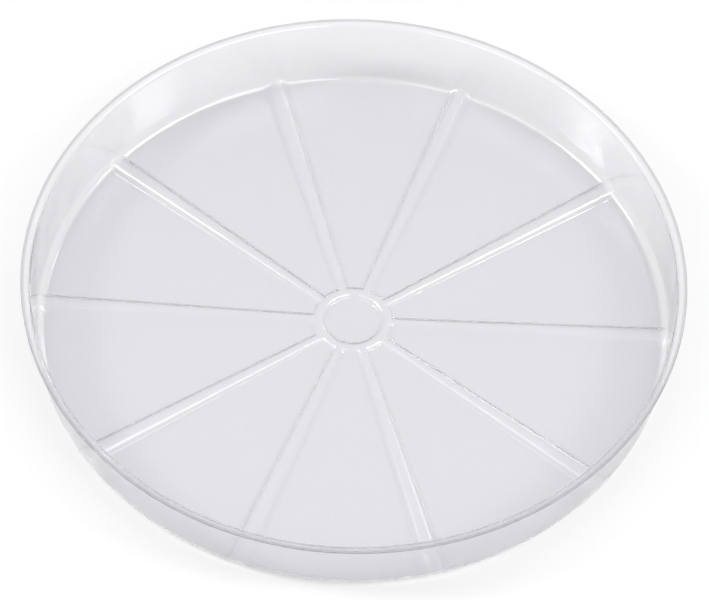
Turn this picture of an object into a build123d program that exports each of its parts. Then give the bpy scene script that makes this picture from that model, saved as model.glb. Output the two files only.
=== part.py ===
from build123d import *
from math import asin, atan, atan2, cos, degrees, hypot, pi, sin
import os

# A shallow round plant saucer, formed from one sheet of clear plastic.
# The sheet is divided where it bends, and each region is a solid of its own.
# Millimetres. The origin is the centre of the underside, +Z is up, and the first rib lies along +X.

# Whole saucer
rim_diameter = 254.0
height = 30.0
sheet = 0.5

# Floor, and the rounded heel between floor and wall, which ends this far up the wall
floor_diameter = 234.0
heel_radius = 5.0
heel_height = 8.0

# Lip at the top of the wall: a bend outwards, then a narrow level flange
lip_bend_radius = 1.6
lip_flat = 1.6
lip_edge_radius = 0.2

# Raised ring round the middle of the floor, measured from foot to foot
hub_ring_diameter = 26.6
hub_ring_width = 6.4
hub_ring_rise = 1.6
hub_ring_foot_radius = 1.0

# Raised ribs from the ring to the heel, measured from foot to foot
rib_count = 10
rib_hub_width = 5.2
rib_hub_rise = 1.35
rib_hub_foot_radius = 0.8
rib_heel_width = 10.4
rib_heel_rise = 2.7
rib_heel_foot_radius = 1.4

# How far a cutting solid runs past what it cuts
overrun = 2.0

# Worked out from the sizes above
rim_radius = rim_diameter / 2
floor_radius = floor_diameter / 2
hub_ring_radius = hub_ring_diameter / 2
hub_ring_inside = hub_ring_radius - hub_ring_width / 2
hub_ring_outside = hub_ring_radius + hub_ring_width / 2
rib_pitch = 360 / rib_count

# The wall is the straight line that touches the heel's round on one side and the lip's bend on the other
heel_centre = (floor_radius, heel_radius)
lip_centre = (rim_radius - lip_flat, height - sheet - lip_bend_radius)
centre_run = lip_centre[0] - heel_centre[0]
centre_climb = lip_centre[1] - heel_centre[1]
centre_lean = atan2(centre_run, centre_climb)
wall_lean = centre_lean - asin((heel_radius + lip_bend_radius) / hypot(centre_run, centre_climb))
bend_turn = 90 - degrees(wall_lean)


def heel_arc(radius):
    """The heel's round in the profile, from the floor up to the wall."""
    return CenterArc(heel_centre, radius, -90, bend_turn)


def lip_arc(radius):
    """The lip's bend in the profile, from the level flange back down to the wall."""
    return CenterArc(lip_centre, radius, 90, bend_turn)


def turned(profile):
    """A closed profile of radius and height, turned round the saucer's axis."""
    return revolve(Plane.XZ * profile, Axis.Z)


def arch(width, rise, foot_radius, drop):
    """The curve of the raised sheet in section: a hollow foot, a round crown and the other foot.

    With no drop it is the upper side of the sheet, and with a drop it is a curve that far below it.
    """
    turn = 2 * atan(2 * rise / width)
    foot = foot_radius + drop
    foot_centre_height = sheet + foot_radius
    start = (width / 2, foot_centre_height - foot)
    middle = (width / 2 - foot * sin(turn / 2), foot_centre_height - foot * cos(turn / 2))
    end = (width / 2 - foot * sin(turn), foot_centre_height - foot * cos(turn))
    crown = (0, sheet + rise - drop)

    def other_side(point):
        return (-point[0], point[1])

    return [
        ThreePointArc(other_side(start), other_side(middle), other_side(end)),
        ThreePointArc(other_side(end), crown, end),
        ThreePointArc(end, middle, start),
    ]


def raised_sheet(*arch_sizes):
    """The section of the sheet itself where it is raised."""
    upper = arch(*arch_sizes, 0)
    lower = arch(*arch_sizes, sheet)
    sides = [Line(upper[0] @ 0, lower[0] @ 0), Line(upper[2] @ 1, lower[2] @ 1)]
    return make_face(upper + lower + sides)


def below_arch(*arch_sizes_and_drop):
    """The section of everything below an arch, down past the floor."""
    curve = arch(*arch_sizes_and_drop)
    left = curve[0] @ 0
    right = curve[2] @ 1
    low_left = (left.X, -overrun)
    low_right = (right.X, -overrun)
    sides = [Line(left, low_left), Line(low_left, low_right), Line(low_right, right)]
    return make_face(curve + sides)


def below_raised_sheet(*arch_sizes):
    """The section from the sheet's upper side down."""
    return below_arch(*arch_sizes, 0)


def hollow_of_raised_sheet(*arch_sizes):
    """The section from the sheet's lower side down."""
    return below_arch(*arch_sizes, sheet)


def ring_form(section):
    """A section turned into the hub's raised ring."""
    return turned(Pos(hub_ring_radius, 0) * section(hub_ring_width, hub_ring_rise, hub_ring_foot_radius))


def rib_form(section):
    """A section drawn out along +X, from the crown of the hub ring to past the heel."""
    hub_end = Plane((hub_ring_radius, 0, 0), x_dir=(0, 1, 0), z_dir=(1, 0, 0))
    heel_end = Plane((floor_radius + heel_radius, 0, 0), x_dir=(0, 1, 0), z_dir=(1, 0, 0))
    sections = [
        hub_end * section(rib_hub_width, rib_hub_rise, rib_hub_foot_radius),
        heel_end * section(rib_heel_width, rib_heel_rise, rib_heel_foot_radius),
    ]
    return loft(sections, ruled=True)


def at_each_rib(solid):
    """A solid at each rib's place."""
    return [Rot(0, 0, number * rib_pitch) * solid for number in range(rib_count)]


def outer_form():
    """Everything inside the saucer's outer surface, up to the top of the wall."""
    heel = heel_arc(heel_radius)
    wall = Line(heel @ 1, lip_arc(lip_bend_radius) @ 1)
    wall_top = (0, (wall @ 1).Y)
    return turned(make_face([
        Line((0, 0), heel @ 0),
        heel,
        wall,
        Line(wall @ 1, wall_top),
        Line(wall_top, (0, 0)),
    ]))


def hub_disc():
    return extrude(Circle(hub_ring_inside), sheet)


def hub_ring():
    """The ring, open on its outer side where each rib's hollow runs into it."""
    return ring_form(raised_sheet) - at_each_rib(rib_form(hollow_of_raised_sheet))


def first_rib():
    """The rib along +X, from the ring's flank to the heel's outer surface, hollow underneath."""
    return (rib_form(raised_sheet) & outer_form()) - ring_form(below_raised_sheet)


def floor_panels():
    """The flat sectors between the ribs, in order round the floor."""
    floor = extrude(Circle(floor_radius) - Circle(hub_ring_outside), sheet)
    panels = floor - at_each_rib(rib_form(below_raised_sheet))

    def place_round_floor(panel):
        centre = panel.center()
        return atan2(centre.Y, centre.X) % (2 * pi)

    return sorted(panels.solids(), key=place_round_floor)


def upturned_sheet():
    """The sheet from the edge of the floor, round the heel and up to the lip."""
    outer_heel = heel_arc(heel_radius)
    inner_heel = heel_arc(heel_radius - sheet)
    outer_lip = lip_arc(lip_bend_radius)
    inner_lip = lip_arc(lip_bend_radius + sheet)
    return turned(make_face([
        outer_heel,
        Line(outer_heel @ 1, outer_lip @ 1),
        Line(outer_lip @ 1, inner_lip @ 1),
        Line(inner_lip @ 1, inner_heel @ 1),
        inner_heel,
        Line(inner_heel @ 0, outer_heel @ 0),
    ]))


def heel():
    """The rounded corner and the foot of the wall, with a notch where each rib runs out through it."""
    corner = split(upturned_sheet(), Plane.XY.offset(heel_height), keep=Keep.BOTTOM)
    return corner - at_each_rib(rib_form(below_raised_sheet))


def side_wall():
    return split(upturned_sheet(), Plane.XY.offset(heel_height), keep=Keep.TOP)


def rim_lip():
    """The bend at the top of the wall and the trimmed flange, with its cut edge softened."""
    lower = lip_arc(lip_bend_radius)
    upper = lip_arc(lip_bend_radius + sheet)
    section = make_face([
        lower,
        upper,
        Line(lower @ 1, upper @ 1),
        Line(lower @ 0, (rim_radius, height - sheet)),
        Line((rim_radius, height - sheet), (rim_radius, height)),
        Line((rim_radius, height), upper @ 0),
    ])
    cut_edge = section.vertices().group_by(Axis.X)[-1]
    return turned(fillet(cut_edge, lip_edge_radius))


nodes = {
    "hub_disc": hub_disc(),
    "hub_ring": hub_ring(),
    "heel": heel(),
    "side_wall": side_wall(),
    "rim_lip": rim_lip(),
}
for number, rib in enumerate(at_each_rib(first_rib()), start=1):
    nodes[f"rib_{number:02d}"] = rib
for number, panel in enumerate(floor_panels(), start=1):
    nodes[f"floor_panel_{number:02d}"] = panel

os.makedirs("parts", exist_ok=True)
for name, solid in nodes.items():
    export_step(solid, f"parts/{name}.step")
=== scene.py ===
from math import asin, atan, atan2, cos, hypot, pi, radians, sin, sqrt

import bpy
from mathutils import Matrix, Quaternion, Vector


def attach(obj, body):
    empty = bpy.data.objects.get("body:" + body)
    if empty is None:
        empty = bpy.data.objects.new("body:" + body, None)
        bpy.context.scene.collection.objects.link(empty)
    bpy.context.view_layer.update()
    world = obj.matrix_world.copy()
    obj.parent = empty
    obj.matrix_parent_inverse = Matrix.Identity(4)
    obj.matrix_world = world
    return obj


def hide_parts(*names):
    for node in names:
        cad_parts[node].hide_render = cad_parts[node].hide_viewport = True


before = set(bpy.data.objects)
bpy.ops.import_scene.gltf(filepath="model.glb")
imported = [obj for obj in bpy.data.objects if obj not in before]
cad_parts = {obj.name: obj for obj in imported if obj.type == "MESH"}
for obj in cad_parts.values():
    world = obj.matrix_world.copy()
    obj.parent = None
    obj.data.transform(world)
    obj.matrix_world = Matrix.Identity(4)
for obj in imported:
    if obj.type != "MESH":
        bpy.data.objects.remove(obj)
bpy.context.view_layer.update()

MM = 0.001

# The saucer's own sizes, in millimetres as in the part's source
RIM_RADIUS = 127.0
HEIGHT = 30.0
SHEET = 0.5
FLOOR_RADIUS = 117.0
HEEL_RADIUS = 5.0
LIP_BEND_RADIUS = 1.6
LIP_FLAT = 1.6
LIP_EDGE_RADIUS = 0.2
HUB_RING_RADIUS = 13.3
RIB_COUNT = 10

# Width, rise and foot radius of each arch of the raised sheet
HUB_RING_ARCH = (6.4, 1.6, 1.0)
RIB_HUB_ARCH = (5.2, 1.35, 0.8)
RIB_HEEL_ARCH = (10.4, 2.7, 1.4)

# How softly the rib's flanks run into the ring and into the heel
RING_BLEND = 0.7
HEEL_BLEND = 1.1

# Places across half a sector: the crown starts at 0, and these are where crown, foot, heel blend and panel end
CROWN_END = 1
FOOT_END = 2
HEEL_BLEND_END = 2.4
PANEL_MIDDLE = 3

# How finely the sheet is divided
CROWN_STEPS = 8
FOOT_STEPS = 7
PANEL_STEPS = 6
HUB_ROWS = 4
RING_ROWS = 9
FLOOR_ROWS = 22
HEEL_ROWS = 18
WALL_ROWS = 12
LIP_ROWS = 9
FLANGE_ROWS = 2
EDGE_STEPS = 3

# How near points are merged, how near the rim its cut edge lies and how level it runs, in millimetres
MERGE_DISTANCE = 0.002
RIM_TOLERANCE = 0.02
LEVEL_TOLERANCE = 0.1
SMOOTH_ANGLE = radians(50)

# The clear plastic: its tint, a greyer colour painted along the rim as shade for the dark outline that refraction
# at the cut edge gives, and how far in from the rim that painted shade starts and is full
SHEET_TINT = (0.946, 0.945, 0.966, 1)
RIM_PAINTED_SHADE = (0.74, 0.74, 0.76, 1)
RIM_SHADE_START = 1.7
RIM_SHADE_FULL = 0.7
CLEARNESS = 0.94
REFRACTION = 1.53

# The haze and the slight waves that forming leaves in the sheet
HAZE_SCALE = 28
HAZE_DETAIL = 3
LEAST_ROUGHNESS = 0.06
HAZE_ROUGHNESS = 0.14
WAVE_SCALE = 50
WAVE_DETAIL = 1
WAVE_HEIGHT = 0.35

# The light that the sheet lets through onto the table, where it faces the light and where it lies aslant
LIGHT_FACING = (0.86, 0.855, 0.87, 1)
LIGHT_ASLANT = (0.12, 0.12, 0.13, 1)
SLANT_BLEND = 0.5
SLANT_POWER = 4

# How often light may turn inside the clear sheet before it is given up
TURNS_OF_LIGHT = 28

# The white table, in metres but for its drop, which keeps it clear of the underside
TABLE_RADIUS = 6
TABLE_SIDES = 64
TABLE_DROP = 0.05
TABLE_GREY = (0.6, 0.6, 0.6, 1)
TABLE_GLOW = 0.32
ROOM_GREY = (0.38, 0.38, 0.38, 1)

# Each lamp's direction from the saucer, its distance and size in metres, and its brightness
LAMPS = {
    "softbox_right": ((0.685, -0.14, 0.72), 1.55, 0.42, 17),
    "softbox_left": ((-0.69, -0.05, 0.72), 1.55, 0.38, 25),
    "front_right": ((0.40, -0.45, 0.80), 1.6, 1.0, 2.7),
    "front_left": ((-0.43, -0.43, 0.80), 1.6, 1.0, 1.6),
    "back_far": ((0.60, 1.30, 0.65), 1.57, 0.12, 22),
    "back_right": ((0.88, 0.80, 0.98), 1.57, 0.12, 22),
}

# The camera, fitted to the rim, the floor and the ribs: its target is in millimetres and its distance in metres
CAMERA_AZIMUTH = radians(1.63)
CAMERA_ELEVATION = radians(53.44)
CAMERA_ROLL = radians(1.79)
CAMERA_TARGET = (0.14, 10.19, 0)
CAMERA_DISTANCE = 1.756
CAMERA_LENS = 230
CAMERA_REACH = 100

# Worked out from the sizes above
heel_centre = (FLOOR_RADIUS, HEEL_RADIUS)
lip_centre = (RIM_RADIUS - LIP_FLAT, HEIGHT - SHEET - LIP_BEND_RADIUS)
centre_run = lip_centre[0] - heel_centre[0]
centre_climb = lip_centre[1] - heel_centre[1]
wall_lean = atan2(centre_run, centre_climb)
wall_lean -= asin((HEEL_RADIUS + LIP_BEND_RADIUS) / hypot(centre_run, centre_climb))
bend_turn = pi / 2 - wall_lean
heel_blend_turn = bend_turn / 3
half_sector = pi / RIB_COUNT
half_ring = HUB_RING_ARCH[0] / 2


def smooth_step(value):
    value = min(max(value, 0), 1)
    return value * value * (3 - 2 * value)


def soft_max(first, second, softness):
    """The larger of two heights, with the corner between them rounded."""
    if softness <= 0:
        return max(first, second)
    overlap = max(softness - abs(first - second), 0)
    return max(first, second) + overlap * overlap / (4 * softness)


def between(start, end, share):
    return start + (end - start) * share


def shares(steps):
    """Even steps from just past 0 up to 1."""
    return [step / steps for step in range(1, steps + 1)]


def arch_arcs(arch):
    """The turn, the crown's radius and the foot's radius of an arch of the raised sheet."""
    width, rise, foot = arch
    turn = 2 * atan(2 * rise / width)
    crown = width / (2 * sin(turn)) - foot
    return turn, crown, foot


def point_on_arch(arch, place):
    """Distance from the middle and height on an arch, at a place from its crown to its foot's edge."""
    width, rise, foot = arch
    turn, crown, foot = arch_arcs(arch)
    if place <= CROWN_END:
        angle = turn * place
        return crown * sin(angle), rise - crown * (1 - cos(angle))
    angle = turn * (FOOT_END - place)
    return width / 2 - foot * sin(angle), foot * (1 - cos(angle))


def height_on_arch(arch, distance):
    """How high an arch stands at a distance from its middle."""
    width, rise, foot = arch
    turn, crown, foot = arch_arcs(arch)
    if distance >= width / 2:
        return 0
    if distance <= crown * sin(turn):
        return rise - crown + sqrt(crown * crown - distance * distance)
    return foot - sqrt(foot * foot - (width / 2 - distance) ** 2)


def rib_arch(radius):
    """The rib's arch at a distance from the saucer's axis."""
    run = FLOOR_RADIUS + HEEL_RADIUS - HUB_RING_RADIUS
    share = max(radius - HUB_RING_RADIUS, 0) / run
    return [between(hub, heel, share) for hub, heel in zip(RIB_HUB_ARCH, RIB_HEEL_ARCH)]


def ring_radii():
    """Rows across the raised ring, from its inner foot to its outer foot."""
    outward = [0.0]
    outward += [point_on_arch(HUB_RING_ARCH, FOOT_END * share)[0] for share in shares(RING_ROWS)]
    inward = [-distance for distance in reversed(outward[1:])]
    return [HUB_RING_RADIUS + distance for distance in inward + outward]


def profile_rows():
    """The sheet's upper side from the middle to the rim, as radius, height and the direction it faces."""
    rows = [(0.0, SHEET, 0.0)]
    ring = ring_radii()
    rows += [(ring[0] * share, SHEET, 0.0) for share in shares(HUB_ROWS)]
    rows += [(radius, SHEET, 0.0) for radius in ring[1:]]
    rows += [(between(ring[-1], FLOOR_RADIUS, share), SHEET, 0.0) for share in shares(FLOOR_ROWS)]
    inside = HEEL_RADIUS - SHEET
    for share in shares(HEEL_ROWS):
        turn = bend_turn * share
        rows.append((heel_centre[0] + inside * sin(turn), heel_centre[1] - inside * cos(turn), turn))
    bend = LIP_BEND_RADIUS + SHEET
    wall_foot = rows[-1]
    wall_top = (lip_centre[0] - bend * sin(bend_turn), lip_centre[1] + bend * cos(bend_turn))
    for share in shares(WALL_ROWS):
        radius = between(wall_foot[0], wall_top[0], share)
        height = between(wall_foot[1], wall_top[1], share)
        rows.append((radius, height, bend_turn))
    for share in shares(LIP_ROWS):
        turn = bend_turn * (1 - share)
        rows.append((lip_centre[0] - bend * sin(turn), lip_centre[1] + bend * cos(turn), turn))
    rows += [(between(lip_centre[0], RIM_RADIUS, share), HEIGHT, 0.0) for share in shares(FLANGE_ROWS)]
    return rows


def column_places():
    """Columns of one sector, from the middle of one panel over the rib to the middle of the next."""
    half = [0.0] + shares(CROWN_STEPS)
    half += [CROWN_END + share for share in shares(FOOT_STEPS)]
    half += [FOOT_END + share for share in shares(PANEL_STEPS)]
    return [-place for place in reversed(half[1:])] + half


def pressed_point(radius, height, turn, place):
    """Where a point of the sheet lies once it is pressed over the ring, the rib and the heel."""
    side = -1 if place < 0 else 1
    place = abs(place)
    at_rib = max(radius, HUB_RING_RADIUS)
    arch = rib_arch(min(at_rib, FLOOR_RADIUS + HEEL_RADIUS))
    across, rib_height = point_on_arch(arch, min(place, FOOT_END))
    angle = asin(across / at_rib)
    if place > FOOT_END:
        angle = between(angle, half_sector, place - FOOT_END)
    even = half_sector * place / PANEL_MIDDLE
    relax = smooth_step((height - HEEL_RADIUS) / (HEIGHT - HEEL_RADIUS))
    angle = side * between(angle, even, relax)

    lift = 0.0
    if height < HEEL_RADIUS and turn == 0:
        ring_height = height_on_arch(HUB_RING_ARCH, abs(radius - HUB_RING_RADIUS))
        if radius > HUB_RING_RADIUS:
            softness = RING_BLEND * smooth_step((radius - HUB_RING_RADIUS) / half_ring)
            softness *= smooth_step((HUB_RING_RADIUS + 2 * half_ring - radius) / half_ring)
            softness *= smooth_step(PANEL_MIDDLE - place)
            lift = soft_max(ring_height, rib_height, softness)
        else:
            lift = ring_height
    elif height < HEEL_RADIUS:
        over = (SHEET + rib_height - height) / cos(turn)
        softness = HEEL_BLEND * smooth_step(turn / heel_blend_turn) * smooth_step(HEEL_BLEND_END - place)
        lift = soft_max(0, over, softness)
    radius -= lift * sin(turn)
    height += lift * cos(turn)
    return Vector((radius * cos(angle), radius * sin(angle), height)) * MM


def deselect_everything():
    bpy.ops.object.select_all(action="DESELECT")


def apply_modifier(piece, kind, **settings):
    modifier = piece.modifiers.new(kind.title(), kind)
    for name, value in settings.items():
        setattr(modifier, name, value)
    bpy.ops.object.modifier_apply(modifier=modifier.name)


def clear_sheet():
    """The whole saucer: one sheet, modelled as a tenth round one rib and copied round the axis."""
    rows = profile_rows()
    columns = column_places()
    last_row = len(rows) - 1
    last_column = len(columns) - 1
    deselect_everything()
    bpy.ops.mesh.primitive_grid_add(x_subdivisions=last_row, y_subdivisions=last_column, size=2)
    piece = bpy.context.object
    piece.name = "clear_sheet"
    for vertex in piece.data.vertices:
        row = round((vertex.co.x + 1) / 2 * last_row)
        column = round((vertex.co.y + 1) / 2 * last_column)
        vertex.co = pressed_point(*rows[row], columns[column])

    bpy.ops.object.mode_set(mode="EDIT")
    bpy.ops.mesh.select_all(action="SELECT")
    copies = RIB_COUNT - 1
    turn = 2 * half_sector * copies
    bpy.ops.mesh.spin(steps=copies, dupli=True, angle=turn, center=(0, 0, 0), axis=(0, 0, 1))
    bpy.ops.mesh.select_all(action="SELECT")
    bpy.ops.mesh.remove_doubles(threshold=MERGE_DISTANCE * MM)
    bpy.ops.mesh.normals_make_consistent(inside=False)
    bpy.ops.object.mode_set(mode="OBJECT")
    middle = min(piece.data.polygons, key=lambda face: face.center.to_2d().length)
    if middle.normal.z < 0:
        piece.data.flip_normals()
    apply_modifier(
        piece, "SOLIDIFY",
        thickness=SHEET * MM, offset=-1, use_even_offset=True, use_quality_normals=True,
    )
    soften_cut_edge(piece)
    bpy.ops.object.shade_smooth_by_angle(angle=SMOOTH_ANGLE)
    return piece


def soften_cut_edge(piece):
    """The two edges that trimming leaves round the rim, bevelled."""
    bpy.ops.object.mode_set(mode="EDIT")
    bpy.ops.mesh.select_mode(type="EDGE")
    bpy.ops.mesh.select_all(action="DESELECT")
    bpy.ops.object.mode_set(mode="OBJECT")
    trimmed_radius = (RIM_RADIUS - RIM_TOLERANCE) * MM
    trimmed = [vertex.co.to_2d().length > trimmed_radius for vertex in piece.data.vertices]
    for edge in piece.data.edges:
        first, second = (piece.data.vertices[number].co for number in edge.vertices)
        level = abs(first.z - second.z) < LEVEL_TOLERANCE * MM
        edge.select = level and trimmed[edge.vertices[0]] and trimmed[edge.vertices[1]]
    bpy.ops.object.mode_set(mode="EDIT")
    bpy.ops.mesh.bevel(offset=LIP_EDGE_RADIUS * MM, segments=EDGE_STEPS)
    bpy.ops.object.mode_set(mode="OBJECT")


class Shade:
    """A socket of a material, so that maths on it reads as plain expressions."""

    def __init__(self, tree, socket):
        self.tree = tree
        self.socket = socket

    def maths(self, operation, *values):
        return node(self.tree, "ShaderNodeMath", {"operation": operation}, dict(enumerate(values)))

    def __add__(self, other):
        return self.maths("ADD", self, other)

    def __radd__(self, other):
        return self.maths("ADD", other, self)

    def __mul__(self, other):
        return self.maths("MULTIPLY", self, other)

    def __rmul__(self, other):
        return self.maths("MULTIPLY", other, self)

    def to_power(self, exponent):
        return self.maths("POWER", self, exponent)

    def at_most(self, other):
        return self.maths("MINIMUM", self, other)


def node(tree, kind, settings=None, inputs=None, output=0):
    """A node of a kind, with its settings and then the values or links of its sockets."""
    made = tree.nodes.new(kind)
    for name, value in (settings or {}).items():
        setattr(made, name, value)
    for name, value in (inputs or {}).items():
        if isinstance(value, Shade):
            tree.links.new(value.socket, made.inputs[name])
        else:
            made.inputs[name].default_value = value
    if made.outputs:
        return Shade(tree, made.outputs[output])


def new_material(name):
    material = bpy.data.materials.new(name)
    material.use_nodes = True
    material.node_tree.nodes.clear()
    return material, material.node_tree


def clear_plastic():
    """Clear tinted plastic, with shade painted greyer along its cut edge for the dark rim outline, and the haze
    and waves of a formed sheet.
    """
    material, tree = new_material("clear_plastic")
    place = node(tree, "ShaderNodeTexCoord", output="Object")
    x = node(tree, "ShaderNodeSeparateXYZ", None, {0: place}, output="X")
    y = node(tree, "ShaderNodeSeparateXYZ", None, {0: place}, output="Y")
    radius = (x * x + y * y).to_power(0.5)
    # Painted shade: the base colour turns greyer near the rim to stand in for the dark outline that refraction at
    # the cut edge gives
    painted_rim_shade = node(tree, "ShaderNodeMapRange", {"interpolation_type": "SMOOTHSTEP"}, {
        "Value": radius,
        "From Min": (RIM_RADIUS - RIM_SHADE_START) * MM,
        "From Max": (RIM_RADIUS - RIM_SHADE_FULL) * MM,
    })
    colour = node(tree, "ShaderNodeMix", {"data_type": "RGBA"}, {
        0: painted_rim_shade, 6: SHEET_TINT, 7: RIM_PAINTED_SHADE,
    }, output=2)
    haze = node(tree, "ShaderNodeTexNoise", None, {
        "Vector": place, "Scale": HAZE_SCALE, "Detail": HAZE_DETAIL,
    })
    waves = node(tree, "ShaderNodeTexNoise", None, {
        "Vector": place, "Scale": WAVE_SCALE, "Detail": WAVE_DETAIL,
    })
    formed = node(tree, "ShaderNodeBump", None, {
        "Strength": 1, "Distance": WAVE_HEIGHT * MM, "Height": waves,
    })
    plastic = node(tree, "ShaderNodeBsdfPrincipled", None, {
        "Base Color": colour,
        "Roughness": LEAST_ROUGHNESS + HAZE_ROUGHNESS * haze,
        "IOR": REFRACTION,
        "Transmission Weight": CLEARNESS,
        "Normal": formed,
    })
    facing_light = node(tree, "ShaderNodeBsdfTransparent", None, {"Color": LIGHT_FACING})
    aslant = node(tree, "ShaderNodeBsdfTransparent", None, {"Color": LIGHT_ASLANT})
    slant = node(tree, "ShaderNodeLayerWeight", None, {"Blend": SLANT_BLEND}, output="Facing")
    let_through = node(tree, "ShaderNodeMixShader", None, {
        0: slant.to_power(SLANT_POWER), 1: facing_light, 2: aslant,
    })
    surface = plastic
    for ray in ("Is Diffuse Ray", "Is Shadow Ray"):
        light_on_table = node(tree, "ShaderNodeLightPath", output=ray)
        surface = node(tree, "ShaderNodeMixShader", None, {0: light_on_table, 1: surface, 2: let_through})
    node(tree, "ShaderNodeOutputMaterial", None, {"Surface": surface})
    return material


def white_floor():
    """A pale table that shows as white, straight and through the saucer, and keeps the shadow."""
    material, tree = new_material("white_table")
    seen = node(tree, "ShaderNodeLightPath", output="Is Camera Ray")
    seen = seen + node(tree, "ShaderNodeLightPath", output="Is Glossy Ray")
    seen = seen + node(tree, "ShaderNodeLightPath", output="Is Transmission Ray")
    lit = node(tree, "ShaderNodeBsdfDiffuse", None, {"Color": TABLE_GREY})
    glow = node(tree, "ShaderNodeEmission", None, {
        "Color": (1, 1, 1, 1), "Strength": TABLE_GLOW * seen.at_most(1),
    })
    surface = node(tree, "ShaderNodeAddShader", None, {0: lit, 1: glow})
    node(tree, "ShaderNodeOutputMaterial", None, {"Surface": surface})
    return material


def table():
    deselect_everything()
    bpy.ops.mesh.primitive_circle_add(
        vertices=TABLE_SIDES, radius=TABLE_RADIUS, fill_type="NGON", location=(0, 0, -TABLE_DROP * MM),
    )
    floor = bpy.context.object
    floor.name = "table"
    floor.data.materials.append(white_floor())


def softbox(name, direction, distance, size, radiance):
    """A round lamp that faces the saucer."""
    deselect_everything()
    place = Vector(direction).normalized() * distance
    bpy.ops.object.light_add(type="AREA", location=place)
    lamp = bpy.context.object
    lamp.name = name
    lamp.data.shape = "DISK"
    lamp.data.size = size
    lamp.data.energy = radiance * (pi * size / 2) ** 2
    lamp.visible_camera = False
    lamp.rotation_mode = "QUATERNION"
    lamp.rotation_quaternion = place.to_track_quat("Z", "Y")


def room():
    world = bpy.data.worlds.new("studio")
    bpy.context.scene.world = world
    world.use_nodes = True
    world.node_tree.nodes["Background"].inputs["Color"].default_value = ROOM_GREY


def camera():
    level = cos(CAMERA_ELEVATION)
    back = Vector((sin(CAMERA_AZIMUTH) * level, -cos(CAMERA_AZIMUTH) * level, sin(CAMERA_ELEVATION)))
    deselect_everything()
    bpy.ops.object.camera_add(location=Vector(CAMERA_TARGET) * MM + back * CAMERA_DISTANCE)
    eye = bpy.context.object
    eye.data.lens = CAMERA_LENS
    eye.data.clip_end = CAMERA_REACH
    eye.rotation_mode = "QUATERNION"
    eye.rotation_quaternion = (-back).to_track_quat("-Z", "Y") @ Quaternion((0, 0, 1), CAMERA_ROLL)
    bpy.context.scene.camera = eye


saucer = clear_sheet()
saucer.data.materials.append(clear_plastic())
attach(saucer, "root")
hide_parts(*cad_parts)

table()
for lamp_name, lamp_settings in LAMPS.items():
    softbox(lamp_name, *lamp_settings)
room()
camera()
bpy.context.scene.view_settings.view_transform = "Standard"
for kind in ("max_bounces", "glossy_bounces", "transmission_bounces", "transparent_max_bounces"):
    setattr(bpy.context.scene.cycles, kind, TURNS_OF_LIGHT)
